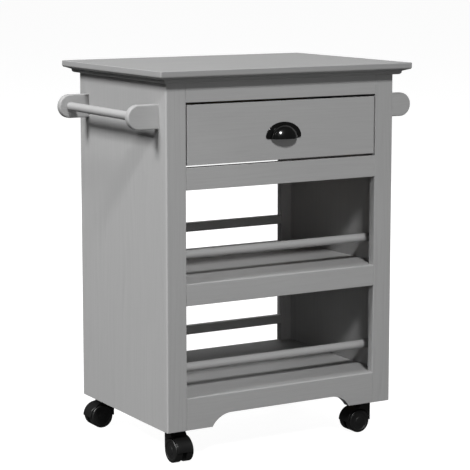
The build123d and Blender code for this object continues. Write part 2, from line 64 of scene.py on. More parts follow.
scene = bpy.context.scene

MM = 0.001

# ------------------------------------------------------------------ shapes, in metres
EASE = 1.2 * MM                 # eased edges of the boards
PANEL_EASE = 0.4 * MM           # edges of the side panels, and the stiles' other two corners
JOINT_EASE = 0.5 * MM           # edges that meet another board, and the boards' ends
LEAST_ROUND = 0.2 * MM          # kept on a section that is drawn in at a board's end
STILE_ROUND = 3.5 * MM          # outer corner of a stile
RAIL_TOP_ROUND = 2.4 * MM       # top edge of a rail level with a shelf
BAR_ROUND = 3.0 * MM
ARCH_HALF_SPAN = 167.5 * MM
ARCH_HALF_FLAT = 122.5 * MM
ARCH_RISE = 25.4 * MM
ARCH_STEPS = 18                 # in each curved end of the arch

# ------------------------------------------------------------------ material helpers


def new_material(name):
    mat = bpy.data.materials.new(name)
    mat.use_nodes = True
    tree = mat.node_tree
    return mat, tree, tree.nodes["Principled BSDF"]


def add_node(tree, kind, **values):
    """A node with its sockets set by name, or its own settings where the name is lower case."""
    node = tree.nodes.new(kind)
    for key, value in values.items():
        if key.islower():
            setattr(node, key, value)
        else:
            node.inputs[key.replace("_", " ")].default_value = value
    return node


def ramp(tree, source, stops):
    """A colour ramp of grey levels, fed by a socket."""
    node = tree.nodes.new("ShaderNodeValToRGB")
    elements = node.color_ramp.elements
    elements.remove(elements[0])
    elements[0].position = stops[0][0]
    for place, _ in stops[1:]:
        elements.new(place)
    for element, (_, level) in zip(elements, stops):
        element.color = (level, level, level, 1)
    tree.links.new(source, node.inputs["Fac"])
    return node.outputs["Color"]


def math_node(tree, operation, a, b):
    node = tree.nodes.new("ShaderNodeMath")
    node.operation = operation
    for socket, value in zip(node.inputs, (a, b)):
        if isinstance(value, (int, float)):
            socket.default_value = value
        else:
            tree.links.new(value, socket)
    return node.outputs[0]


def stretched(tree, source, scale):
    """A vector scaled along each axis: a pattern made from it is long where the scale is small."""
    node = add_node(tree, "ShaderNodeMapping", Scale=scale)
    tree.links.new(source, node.inputs["Vector"])
    return node.outputs["Vector"]


def noise(tree, source, scale, detail, roughness=0.5):
    node = add_node(tree, "ShaderNodeTexNoise", Scale=scale, Detail=detail, Roughness=roughness)
    tree.links.new(source, node.inputs["Vector"])
    return node.outputs["Fac"]


def set_bump(tree, bsdf, height, strength, distance):
    bump = add_node(tree, "ShaderNodeBump", Strength=strength, Distance=distance)
    tree.links.new(height, bump.inputs["Height"])
    tree.links.new(bump.outputs["Normal"], bsdf.inputs["Normal"])


def set_roughness(tree, bsdf, source, low, high):
    """Roughness that runs from low to high as the source runs from 0 to 1."""
    spread = add_node(tree, "ShaderNodeMapRange", To_Min=low, To_Max=high)
    tree.links.new(source, spread.inputs["Value"])
    tree.links.new(spread.outputs["Result"], bsdf.inputs["Roughness"])


# Scale of each pattern along the grain, against 1 across it: the smaller, the longer its streaks.
RING_RUN, PATCH_RUN, FIBRE_RUN, SKIN_RUN = 0.07, 0.16, 0.022, 0.06
# How strongly the late wood shows through one growth ring: a slow rise and a quick fall.
RING_RAMP = [(0, 0.1), (0.55, 0.3), (0.86, 1), (0.97, 0.75), (1, 0.1)]
RING_RELIEF = 0.7               # share of the relief that follows the rings; fibres make the rest


def build_grain_group():
    """Pine grain along Z: growth rings, fibres, slow patches of tone, and their relief."""
    group = bpy.data.node_groups.new("pine_grain", "ShaderNodeTree")
    group.interface.new_socket("Vector", in_out="INPUT", socket_type="NodeSocketVector")
    for name in ("Rings", "Fibres", "Patches", "Height"):
        group.interface.new_socket(name, in_out="OUTPUT", socket_type="NodeSocketFloat")
    source = group.nodes.new("NodeGroupInput").outputs["Vector"]
    sink = group.nodes.new("NodeGroupOutput")

    wave = add_node(group, "ShaderNodeTexWave", wave_type="RINGS", rings_direction="Z",
                    wave_profile="SAW", Scale=34, Distortion=22, Detail=3, Detail_Scale=0.5)
    group.links.new(stretched(group, source, (1, 1, RING_RUN)), wave.inputs["Vector"])
    rings = ramp(group, wave.outputs["Fac"], RING_RAMP)
    fine = stretched(group, source, (1, 1, FIBRE_RUN))
    fibres = ramp(group, noise(group, fine, scale=620, detail=4, roughness=0.65), [(0.3, 0), (0.7, 1)])
    broad = stretched(group, source, (1, 1, PATCH_RUN))
    patches = ramp(group, noise(group, broad, scale=26, detail=3, roughness=0.55), [(0.28, 0), (0.72, 1)])

    ring_height = math_node(group, "MULTIPLY", rings, RING_RELIEF)
    fibre_height = math_node(group, "MULTIPLY", fibres, 1 - RING_RELIEF)
    height = math_node(group, "ADD", ring_height, fibre_height)
    group.links.new(rings, sink.inputs["Rings"])
    group.links.new(fibres, sink.inputs["Fibres"])
    group.links.new(patches, sink.inputs["Patches"])
    group.links.new(height, sink.inputs["Height"])
    return group


GRAIN_GROUP = build_grain_group()
GRAIN_TURN = {
    "X": (0, math.pi / 2, 0),
    "Y": (math.pi / 2, 0, 0),
    "Z": (0, 0, 0),
}


FIRST_BOARD = (0.21, 0.37, 0)                  # place in the log of a board with index 0
NEXT_BOARD = (0.173, -0.119, 0.9)              # and the step from each board to the next


def object_coordinates(tree):
    return tree.nodes.new("ShaderNodeTexCoord").outputs["Object"]


def grain_source(tree, axis, index):
    """A board's coordinates, with its grain along Z and in its own part of the log; and its grain."""
    turn = add_node(tree, "ShaderNodeMapping", vector_type="POINT", Rotation=GRAIN_TURN[axis])
    tree.links.new(object_coordinates(tree), turn.inputs["Vector"])
    place = [first + step * index for first, step in zip(FIRST_BOARD, NEXT_BOARD)]
    move = add_node(tree, "ShaderNodeMapping", Location=place)
    tree.links.new(turn.outputs["Vector"], move.inputs["Vector"])
    group = tree.nodes.new("ShaderNodeGroup")
    group.node_tree = GRAIN_GROUP
    tree.links.new(move.outputs["Vector"], group.inputs["Vector"])
    return move.outputs["Vector"], group.outputs


def mixed(tree, factor, a, b):
    """Colour a to colour b by a factor socket. A colour is a tuple or a socket."""
    node = tree.nodes.new("ShaderNodeMix")
    node.data_type = "RGBA"
    tree.links.new(factor, node.inputs["Factor"])
    for socket, colour in ((node.inputs["A"], a), (node.inputs["B"], b)):
        if isinstance(colour, tuple):
            socket.default_value = (*colour, 1)
        else:
            tree.links.new(colour, socket)
    return node.outputs["Result"]


def grey(level):
    return (level, level, level)


PAINT = 0.36                    # linear grey level
SHADED_TOP_PAINT = 0.297               # painted shade: darker than the grey the worktop really shares with the other boards, to dim the light on its top
STREAKS = {"X": 0.6, "Y": 0.7, "Z": 1.0}       # how strongly the rings show, by the grain's direction
# Tones as shares of the paint's own, and how far each is mixed in.
PATCH_TONES = (0.95, 1.03)
RING_TONE = 0.9
FIBRE_TONE, FIBRE_SHARE = 1.07, 0.6
SKIN_RELIEF = 0.25              # the brushed skin's relief against the grain's


def painted_pine(name, axis, index, paint=PAINT):
    """Satin grey paint over pine: the grain shows as faint tone and relief, with a fine brushed skin."""
    mat, tree, bsdf = new_material(name)
    place, grain = grain_source(tree, axis, index)
    base = mixed(tree, grain["Patches"], *[grey(paint * tone) for tone in PATCH_TONES])
    patchy_rings = math_node(tree, "MULTIPLY", grain["Rings"], grain["Patches"])
    ring_share = math_node(tree, "MULTIPLY", patchy_rings, STREAKS[axis])
    ringed = mixed(tree, ring_share, base, grey(paint * RING_TONE))
    fibre_share = math_node(tree, "MULTIPLY", grain["Fibres"], FIBRE_SHARE)
    streaked = mixed(tree, fibre_share, ringed, grey(paint * FIBRE_TONE))
    tree.links.new(streaked, bsdf.inputs["Base Color"])
    brushed = noise(tree, stretched(tree, place, (1, 1, SKIN_RUN)), scale=1500, detail=3, roughness=0.6)
    skin_height = math_node(tree, "MULTIPLY", brushed, SKIN_RELIEF)
    height = math_node(tree, "ADD", grain["Height"], skin_height)
    set_bump(tree, bsdf, height, strength=0.35, distance=0.22 * MM)
    set_roughness(tree, bsdf, brushed, low=0.50, high=0.62)
    bsdf.inputs["Specular IOR Level"].default_value = 0.2
    return mat


WOOD_PATCH_SHARE, WOOD_FIBRE_SHARE = 0.3, 0.25


def bare_wood(name, axis, index, early, late, mottle):
    """Unpainted wood: early and late wood in their own colours, patches and fibres in a third."""
    mat, tree, bsdf = new_material(name)
    _, grain = grain_source(tree, axis, index)
    ringed = mixed(tree, grain["Rings"], early, late)
    patch_share = math_node(tree, "MULTIPLY", grain["Patches"], WOOD_PATCH_SHARE)
    toned = mixed(tree, patch_share, ringed, mottle)
    fibre_share = math_node(tree, "MULTIPLY", grain["Fibres"], WOOD_FIBRE_SHARE)
    fibred = mixed(tree, fibre_share, toned, mottle)
    tree.links.new(fibred, bsdf.inputs["Base Color"])
    set_bump(tree, bsdf, grain["Height"], strength=0.4, distance=0.3 * MM)
    set_roughness(tree, bsdf, grain["Fibres"], low=0.52, high=0.68)
    return mat


FLECK_COLOURS = ((0.20, 0.115, 0.055), (0.34, 0.21, 0.11))
CLOUD_COLOUR, CLOUD_SHARE = (0.25, 0.15, 0.075), 0.35


def pressed_board(name):
    """Hardboard: pressed fibre with flecks of lighter and darker strands."""
    mat, tree, bsdf = new_material(name)
    source = object_coordinates(tree)
    flecks = noise(tree, source, scale=420, detail=6, roughness=0.75)
    base = mixed(tree, ramp(tree, flecks, [(0.35, 0), (0.65, 1)]), *FLECK_COLOURS)
    clouds = noise(tree, source, scale=14, detail=2)
    toned = mixed(tree, math_node(tree, "MULTIPLY", clouds, CLOUD_SHARE), base, CLOUD_COLOUR)
    tree.links.new(toned, bsdf.inputs["Base Color"])
    set_bump(tree, bsdf, flecks, strength=0.3, distance=0.2 * MM)
    bsdf.inputs["Roughness"].default_value = 0.55
    return mat


def moulded(name, dark, light, rough, scale, relief, coat=0.0):
    """Black plastic or enamel with a fine surface texture and slight patches of sheen."""
    mat, tree, bsdf = new_material(name)
    source = object_coordinates(tree)
    patches = noise(tree, source, scale=60, detail=2)
    tree.links.new(mixed(tree, patches, dark, light), bsdf.inputs["Base Color"])
    set_roughness(tree, bsdf, patches, *rough)
    pits = noise(tree, source, scale, detail=3, roughness=0.6)
    set_bump(tree, bsdf, pits, strength=0.25, distance=relief)
    bsdf.inputs["Coat Weight"].default_value = coat
    bsdf.inputs["Coat Roughness"].default_value = 0.06
    return mat


SCRATCH_RUN = 0.05              # scratches are long in Y


def plated(name, dark, light, rough):
    """Zinc or steel: metal with cloudy tone and fine scratches."""
    mat, tree, bsdf = new_material(name)
    source = object_coordinates(tree)
    clouds = noise(tree, source, scale=160, detail=4, roughness=0.6)
    tree.links.new(mixed(tree, clouds, dark, light), bsdf.inputs["Base Color"])
    set_roughness(tree, bsdf, clouds, low=rough - 0.08, high=rough + 0.1)
    scratches = noise(tree, stretched(tree, source, (1, SCRATCH_RUN, 1)), scale=2600, detail=2)
    set_bump(tree, bsdf, scratches, strength=0.2, distance=0.05 * MM)
    bsdf.inputs["Metallic"].default_value = 1.0
    return mat


# early wood, late wood, and the patches and fibres
PINE_COLOURS = ((0.66, 0.46, 0.25), (0.50, 0.29, 0.12), (0.56, 0.36, 0.17))
BEECH_COLOURS = ((0.58, 0.38, 0.20), (0.50, 0.30, 0.15), (0.46, 0.27, 0.13))
hardboard = pressed_board("hardboard")
gloss_black = moulded("gloss_black", grey(0.003), grey(0.005), rough=(0.16, 0.24), scale=500,
                      relief=0.03 * MM, coat=0.35)
hood_black = moulded("hood_black", grey(0.006), grey(0.009), rough=(0.32, 0.42), scale=2200,
                     relief=0.06 * MM)
wheel_black = moulded("wheel_black", grey(0.007), grey(0.010), rough=(0.36, 0.48), scale=1800,
                      relief=0.08 * MM)
zinc = plated("zinc", grey(0.48), grey(0.62), rough=0.34)
zinc_sheet = plated("zinc_sheet", grey(0.42), (0.56, 0.57, 0.58), rough=0.38)
steel = plated("steel", grey(0.36), grey(0.5), rough=0.3)

# ------------------------------------------------------------------ mesh helpers
SAME_POINT = 1e-6               # points closer than this are one
NO_LENGTH = 1e-7                # an edge shorter than this is dissolved
POINT_RADIUS = 1e-7             # a turned shape's ring on its axis: its points become one


def finish_piece(name, verts, faces, mat, replaced, sharp_deg=38):
    """Makes a closed mesh, marks its sharp edges and puts it in place of the CAD nodes it stands for."""
    mesh = bpy.data.meshes.new(name)
    mesh.from_pydata([tuple(v) for v in verts], [], faces)
    bm = bmesh.new()
    bm.from_mesh(mesh)
    bmesh.ops.remove_doubles(bm, verts=bm.verts, dist=SAME_POINT)
    bmesh.ops.dissolve_degenerate(bm, edges=bm.edges, dist=NO_LENGTH)
    bmesh.ops.recalc_face_normals(bm, faces=bm.faces)
    for face in bm.faces:
        face.smooth = True
    limit = math.radians(sharp_deg)
    for edge in bm.edges:
        if edge.is_manifold and edge.calc_face_angle() > limit:
            edge.smooth = False
    bm.to_mesh(mesh)
    bm.free()
    mesh.materials.append(mat)
    piece = bpy.data.objects.new(name, mesh)
    scene.collection.objects.link(piece)
    weighted = piece.modifiers.new("weighted_normals", "WEIGHTED_NORMAL")
    weighted.keep_sharp = True
    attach(piece, nodes[replaced[0]]["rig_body"])
    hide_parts(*replaced)
    return piece


def joined_rings(rings):
    """Points of all the rings, and quads between each ring and the next."""
    count = len(rings[0])
    verts = [point for ring in rings for point in ring]
    faces = []
    for low in range(0, len(verts) - count, count):
        high = low + count
        for i in range(count):
            j = (i + 1) % count
            faces.append((low + i, low + j, high + j, high + i))
    return verts, faces


def skin(rings):
    """Quads between successive rings of points, with a cap on each end."""
    count = len(rings[0])
    verts, faces = joined_rings(rings)
    faces.append(tuple(reversed(range(count))))
    faces.append(tuple(range(len(verts) - count, len(verts))))
    return verts, faces


def merged(*parts):
    """Several (verts, faces) as one."""
    verts, faces = [], []
    for part_verts, part_faces in parts:
        start = len(verts)
        verts += list(part_verts)
        faces += [tuple(start + i for i in face) for face in part_faces]
    return verts, faces


def arc(centre, radius, start_deg, end_deg, steps):
    """Points on a circle, both ends included."""
    points = []
    for i in range(steps + 1):
        a = math.radians(start_deg + (end_deg - start_deg) * i / steps)
        points.append((centre[0] + radius * math.cos(a), centre[1] + radius * math.sin(a)))
    return points


def quarter(steps):
    """Sine and cosine over a quarter turn, both ends included."""
    turns = [math.pi / 2 * i / steps for i in range(steps + 1)]
    return [(math.sin(turn), math.cos(turn)) for turn in turns]


def rounded_section(lo, hi, radii, steps=4):
    """A rectangle with its own radius at each corner: low-low, high-low, high-high, low-high."""
    corners = [
        (lo[0] + radii[0], lo[1] + radii[0], radii[0], 180),
        (hi[0] - radii[1], lo[1] + radii[1], radii[1], 270),
        (hi[0] - radii[2], hi[1] - radii[2], radii[2], 0),
        (lo[0] + radii[3], hi[1] - radii[3], radii[3], 90),
    ]
    points = []
    for x, y, radius, start in corners:
        points += arc((x, y), radius, start, start + 90, steps)
    return points


def placed(point, along, place):
    """A section's point at a place along an axis, given by number. Its own numbers fill the other two."""
    coordinates = list(point)
    coordinates.insert(along, place)
    return tuple(coordinates)


def board_mesh(lo, hi, axis, radii, end_ease, low_edge=None, stations=()):
    """A board with rounded long edges and eased ends. low_edge(place) gives a lower edge that varies."""
    along = "XYZ".index(axis)
    first, last = lo[along], hi[along]
    low, high = [[corner[i] for i in range(3) if i != along] for corner in (lo, hi)]
    start = [(first + end_ease * (1 - c), end_ease * (1 - s)) for s, c in quarter(3)]
    middle = [(place, 0) for place in sorted(stations) if first + end_ease < place < last - end_ease]
    finish = [(first + last - place, inset) for place, inset in reversed(start)]
    rings = []
    for place, inset in start + middle + finish:
        bottom = low_edge(place) if low_edge else low[1]
        section = rounded_section(
            (low[0] + inset, bottom + inset), (high[0] - inset, high[1] - inset),
            [max(radius - inset, LEAST_ROUND) for radius in radii])
        rings.append([placed(point, along, place) for point in section])
    return skin(rings)


def lathe(origin, axis, profile, steps=48):
    """A turned shape: profile is (along the axis, radius) from end to end, both ends on the axis."""
    origin, axis = Vector(origin), Vector(axis).normalized()
    side = axis.orthogonal().normalized()
    other = axis.cross(side)
    rings = []
    for along, radius in profile:
        ring = []
        for i in range(steps):
            turn = 2 * math.pi * i / steps
            outwards = side * math.cos(turn) + other * math.sin(turn)
            ring.append(origin + axis * along + outwards * max(radius, POINT_RADIUS))
        rings.append(ring)
    return joined_rings(rings)


# ------------------------------------------------------------------ boards
paint_index = itertools.count(1)


def paint_for(node, axis):
    # The worktop takes the darker paint: painted shade that dims the light falling on its top.
    paint = SHADED_TOP_PAINT if node == "tabletop" else PAINT
    return painted_pine(f"paint_{node}", axis, next(paint_index), paint)


def board(node, axis, radii, end_ease=JOINT_EASE, low_edge=None, stations=()):
    lo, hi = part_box(node)
    verts, faces = board_mesh(lo, hi, axis, radii, end_ease, low_edge, stations)
    return finish_piece(f"{node}_wood", verts, faces, paint_for(node, axis), [node])


# outer and inner corner of each stile's section in (X, Y): low-low, high-low, high-high, low-high
STILE_CORNERS = {
    "front_stile_left": (0, 1),
    "front_stile_right": (1, 0),
    "back_stile_left": (3, 2),
    "back_stile_right": (2, 3),
}
for node, (outer, inner) in STILE_CORNERS.items():
    radii = [PANEL_EASE] * 4
    radii[outer] = STILE_ROUND
    radii[inner] = EASE
    board(node, "Z", radii)

# section corners in (Y, Z): front-low, back-low, back-high, front-high
board("top_rail", "X", (EASE, JOINT_EASE, JOINT_EASE, JOINT_EASE))
board("middle_rail", "X", (EASE, JOINT_EASE, JOINT_EASE, EASE))
board("shelf_rail_front", "X", (EASE, JOINT_EASE, JOINT_EASE, RAIL_TOP_ROUND))
board("shelf_rail_back", "X", (JOINT_EASE, EASE, RAIL_TOP_ROUND, JOINT_EASE))
board("back_panel", "X", (JOINT_EASE, EASE, JOINT_EASE, JOINT_EASE))
board("gallery_bar_upper_back", "X", (BAR_ROUND,) * 4)
board("gallery_bar_lower_back", "X", (BAR_ROUND,) * 4)

arch_low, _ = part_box("bottom_rail_front")
arch_run = ARCH_HALF_SPAN - ARCH_HALF_FLAT
arch_radius = (arch_run ** 2 + ARCH_RISE ** 2) / (2 * ARCH_RISE)


def arch_edge(x):
    """Height of a bottom rail's lower edge: level, with a flat arch that curves down to it at each end."""
    x = abs(x)
    if x >= ARCH_HALF_SPAN:
        return arch_low.z
    if x <= ARCH_HALF_FLAT:
        return arch_low.z + ARCH_RISE
    drop = arch_radius - math.sqrt(arch_radius ** 2 - (x - ARCH_HALF_FLAT) ** 2)
    return arch_low.z + ARCH_RISE - drop


arch_stations = [
    side * (ARCH_HALF_FLAT + arch_run * i / ARCH_STEPS) for side in (-1, 1) for i in range(ARCH_STEPS + 1)
]
for end_name, radii in (
    ("front", (EASE, JOINT_EASE, JOINT_EASE, RAIL_TOP_ROUND)),
    ("back", (JOINT_EASE, EASE, RAIL_TOP_ROUND, JOINT_EASE)),
):
    board(f"bottom_rail_{end_name}", "X", radii, low_edge=arch_edge, stations=arch_stations)

for side_name in ("left", "right"):
    board(f"side_panel_{side_name}", "Z", (PANEL_EASE,) * 4)
for name in ("upper", "lower"):
    board(f"{name}_shelf", "X", (JOINT_EASE,) * 4)
board("drawer_front", "X", (EASE, JOINT_EASE, JOINT_EASE, EASE), end_ease=EASE)

# ------------------------------------------------------------------ worktop
TOP_CAP_INSET = 4 * MM          # first ring, inside the flat top
BAND_TOP_ROUND = 1.6 * MM
BAND_LOW_ROUND = 4.5 * MM
BAND_DEPTH = 14 * MM            # underside of the rounded band, below the top
FOOT_INSET = 15.6 * MM
FOOT_TOP = 18 * MM              # where the sloping underside meets the foot
FOOT_ROUND = 5.5 * MM
CORNER_LOSS = 0.6               # the corners tighten by this share of the inset
CORNER_REACH = 3 * MM           # up to this inset

top_low, top_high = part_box("tabletop")
top_thickness = top_high.z - top_low.z


def worktop_ring(inset, depth):
    """The worktop's outline, drawn in by an inset, at a depth below its top."""
    corner = STILE_ROUND - min(inset, CORNER_REACH) * CORNER_LOSS
    section = rounded_section(
        (top_low.x + inset, top_low.y + inset), (top_high.x - inset, top_high.y - inset), (corner,) * 4, 6)
    return [(x, y, top_high.z - depth) for x, y in section]


def build_worktop():
    """From the top down: a rounded band, a sloping underside and a rounded foot."""
    profile = [(TOP_CAP_INSET, 0)]
    for s, c in quarter(5):
        profile.append((BAND_TOP_ROUND * (1 - s), BAND_TOP_ROUND * (1 - c)))
    for s, c in quarter(8):
        profile.append((BAND_LOW_ROUND * (1 - c), BAND_DEPTH - BAND_LOW_ROUND * (1 - s)))
    profile.append((FOOT_INSET, FOOT_TOP))
    for s, c in quarter(7):
        profile.append((FOOT_INSET + FOOT_ROUND * (1 - c), top_thickness - FOOT_ROUND * (1 - s)))
    verts, faces = skin([worktop_ring(inset, depth) for inset, depth in profile])
    paint = paint_for("tabletop", "X")
    return finish_piece("tabletop_wood", verts, faces, paint, ["tabletop"])


build_worktop()

# ------------------------------------------------------------------ rods
ROD_CHAMFER = 1 * MM
ROD_RUNS = 24                   # lengths into which a rod is divided
ROD_WAVER = 0.06 * MM           # the most that its radius falls short
WAVER_TURN = 1.7                # radians of waver from one ring to the next


def rod(node, axis):
    """A turned rod with a very slightly uneven, hand-sanded surface and chamfered ends."""
    lo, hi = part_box(node)
    along = "XYZ".index(axis)
    length = hi[along] - lo[along]
    radius = (hi - lo)[(along + 1) % 3] / 2
    start = (lo + hi) / 2
    start[along] = lo[along]
    direction = Vector((0, 0, 0))
    direction[along] = 1
    profile = [(0, 0), (0, radius - ROD_CHAMFER), (ROD_CHAMFER, radius)]
    for i in range(1, ROD_RUNS):
        place = ROD_CHAMFER + (length - 2 * ROD_CHAMFER) * i / ROD_RUNS
        profile.append((place, radius - ROD_WAVER * (1 + math.sin(i * WAVER_TURN)) / 2))
    profile += [(length - ROD_CHAMFER, radius), (length, radius - ROD_CHAMFER), (length, 0)]
    verts, faces = lathe(start, direction, profile, 56)
    return finish_piece(f"{node}_turned", verts, faces, paint_for(node, axis), [node])


for name in ("upper", "lower"):
    rod(f"gallery_rod_{name}_front", "X")
for side_name in ("left", "right"):
    rod(f"towel_rod_{side_name}", "Y")

# ------------------------------------------------------------------ towel rail brackets
BRACKET_RIM = 3 * MM
SEAT_DEPTH = 8 * MM
SEAT_CLEARANCE = 0.15 * MM      # round the rod


def bracket(side_name, end_name):
    """A round-ended plate with softly rounded rims, flush on the side panel, with a seat for the rod."""
    node = f"towel_bracket_{side_name}_{end_name}"
    lo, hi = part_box(node)
    rod_lo, rod_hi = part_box(f"towel_rod_{side_name}")
    rod_x, rod_z = (rod_lo.x + rod_hi.x) / 2, (rod_lo.z + rod_hi.z) / 2
    rod_radius = (rod_hi.z - rod_lo.z) / 2
    side, wall_x = (-1, hi.x) if side_name == "left" else (1, lo.x)
    inward, face_y, seat_y = (1, lo.y, hi.y) if end_name == "front" else (-1, hi.y, lo.y)
    reach = abs(wall_x - rod_x)
    shares = (0.25, 0.5, 0.75, 1.0)

    def outline(inset):
        """From the middle of the panel side, along the lower edge, round the end and back."""
        radius = (hi.z - lo.z) / 2 - inset
        points = [(-reach, 0), (-reach, -radius / 2)]
        points += [(-reach * share, -radius) for share in reversed(shares)]
        points += arc((0, 0), radius, -90, 90, 32)
        points += [(-reach * share, radius) for share in shares]
        points += [(-reach, radius / 2)]
        return [(rod_x + side * t, rod_z + z) for t, z in points]

    def at(points, y):
        return [(x, y, z) for x, z in points]

    rings = []
    for s, c in quarter(6):
        rings.append(at(outline(BRACKET_RIM * (1 - s)), face_y + inward * BRACKET_RIM * (1 - c)))
    for s, c in quarter(6):
        rings.append(at(outline(BRACKET_RIM * (1 - c)), seat_y - inward * BRACKET_RIM * (1 - s)))
    seat = []
    for x, z in outline(BRACKET_RIM):
        direction = Vector((x - rod_x, z - rod_z)).normalized() * (rod_radius + SEAT_CLEARANCE)
        seat.append((rod_x + direction.x, rod_z + direction.y))
    rings.append(at(seat, seat_y))
    rings.append(at(seat, seat_y - inward * SEAT_DEPTH))
    verts, faces = skin(rings)
    return finish_piece(f"{node}_wood", verts, faces, paint_for(node, "X"), [node])


for side_name in ("left", "right"):
    for end_name in ("front", "back"):
        bracket(side_name, end_name)

# ------------------------------------------------------------------ cup pull
PULL_PLATE = 2.2 * MM           # thickness of the flange
PULL_CORNER = 4.5 * MM          # lower corners of the flange
PULL_LIP = 1.1 * MM             # rounding of its front edge
PULL_BACK_EASE = 0.2 * MM
PULL_RIM_TOP = 5.5 * MM         # flange left bare above the dome
PULL_RIM_SIDE = 10.5 * MM       # and at each side of it
PULL_WALL = 2.0 * MM
PULL_LEAST = 0.02               # the dome's last sections stay this share of its middle one
PULL_INNER_SHARE = 0.985        # the inside ends this far out along the dome's width
ARCH_POINTS, DOME_STATIONS, DOME_SWEEP = 48, 56, 18


def build_pull():
    """A pressed shell: an arched flange, and over it a half dome that is open underneath."""
    lo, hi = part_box("cup_pull")
    half, depth, height = (hi.x - lo.x) / 2, hi.y - lo.y, hi.z - lo.z

    def outline(inset):
        """Round the flange in (X, Z), from the middle of its lower edge."""
        low_corner = arc((-half + PULL_CORNER, PULL_CORNER), PULL_CORNER - inset, 270, 180, 5)
        points = [(-half * share, inset) for share in (0.0, 0.35, 0.7)] + low_corner
        for i in range(1, ARCH_POINTS):
            turn = math.pi - math.pi * i / ARCH_POINTS
            rise = (height - PULL_CORNER - inset) * math.sin(turn)
            points.append(((half - inset) * math.cos(turn), PULL_CORNER + rise))
        points += [(-x, z) for x, z in reversed(low_corner)]
        return points + [(half * share, inset) for share in (0.7, 0.35)]

    def flange_ring(inset, out):
        return [(x, hi.y - out, lo.z + z) for x, z in outline(inset)]

    rings = [flange_ring(PULL_BACK_EASE, 0), flange_ring(0, PULL_BACK_EASE)]
    rings += [flange_ring(PULL_LIP * (1 - c), PULL_PLATE - PULL_LIP * (1 - s)) for s, c in quarter(5)]

    dome_half, dome_height = half - PULL_RIM_SIDE, height - PULL_RIM_TOP
    inner_depth, inner_height = depth - PULL_WALL, dome_height - PULL_WALL

    def dome_arc(x, out, up):
        """A quarter ellipse at x, from the edge of the opening up to the flange."""
        return [(x, hi.y - out * c, lo.z + up * s) for s, c in quarter(DOME_SWEEP)]

    dome_rings = []
    for i in range(DOME_STATIONS + 1):
        turn = math.pi * i / DOME_STATIONS
        x = dome_half * math.cos(turn)
        swell = max(math.sin(turn), PULL_LEAST)
        outer = dome_arc(x, swell * depth, swell * dome_height)
        inner = dome_arc(x * PULL_INNER_SHARE, swell * inner_depth, swell * inner_height)
        dome_rings.append(outer + inner[::-1])
    verts, faces = merged(skin(rings), skin(dome_rings))
    return finish_piece("cup_pull_shell", verts, faces, gloss_black, ["cup_pull"], 42)


build_pull()

# ------------------------------------------------------------------ castors
HOOD_ROUND = 1.5 * MM
HOOD_BORE = 26.2 * MM           # radius of the cavity round each wheel
HOOD_CHAMFER = 0.5 * MM         # mouth of the cavity, and edges of the boss
HOOD_SHOULDER = 9 * MM          # where the slope from the round back meets the level top
HOOD_SHOULDER_ROUND = 1.2 * MM
HOOD_SLOPE_START = 0.6 * MM     # beside and above the top of the round back
HOOD_BLOCK_ROUND = 3 * MM
HOOD_WALL_SHARE = 0.6           # the rim's rounding takes this share of the wall where that is thin
HOOD_TOP_SHARE = 0.6            # place of a point on the level top, from the shoulder to the block
WEB_HALF = 4 * MM
WEB_INNER_SHARE = 0.8           # the web starts inside the boss, at this share of its radius
BOSS = 11 * MM

WHEEL_ROUND = 3 * MM            # outer corner of the tread
WHEEL_INNER_ROUND = 1.5 * MM
# The outer face as (depth, radius) in mm: flat rim, sunk ring and domed cap.
WHEEL_FACE = ((0, 19.5), (0.3, 19), (1.2, 18), (1.5, 17), (1.5, 9.5),
              (1.3, 8.8), (0.6, 8.2), (0.25, 7), (0.1, 4), (0, 0))


def castor_axes(corner):
    """Axle centre, direction towards the kingpin, and axle direction."""
    lo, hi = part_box(f"castor_axle_{corner}")
    centre, size = (lo + hi) / 2, hi - lo
    axle, across = Vector((1, 0, 0)), Vector((0, 1, 0))
    if size.y > size.x:
        axle, across = across, axle
    hood_lo, hood_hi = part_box(f"castor_hood_{corner}")
    lean = ((hood_lo + hood_hi) / 2 - centre).dot(across)
    return centre, across * (1 if lean > 0 else -1), axle


def hood_outline(block, radius, shoulder):
    """Side view from the axle as (towards the kingpin, up): squared block, level top, slope, round back."""
    top_middle = (block - HOOD_BLOCK_ROUND) * HOOD_TOP_SHARE + HOOD_SHOULDER * (1 - HOOD_TOP_SHARE)
    outline = [(block, shoulder * share) for share in (0.0, 0.35, 0.7)]
    outline += arc((block - HOOD_BLOCK_ROUND, shoulder - HOOD_BLOCK_ROUND), HOOD_BLOCK_ROUND, 0, 90, 6)
    outline += [(top_middle, shoulder)]
    outline += arc((HOOD_SHOULDER + HOOD_SHOULDER_ROUND, shoulder - HOOD_SHOULDER_ROUND),
                   HOOD_SHOULDER_ROUND, 90, 129, 4)
    outline += [(HOOD_SHOULDER / 2, (shoulder + radius) / 2)]
    outline += [(HOOD_SLOPE_START, radius + HOOD_SLOPE_START)]
    return outline + arc((0, 0), radius, 92, 180, 30)


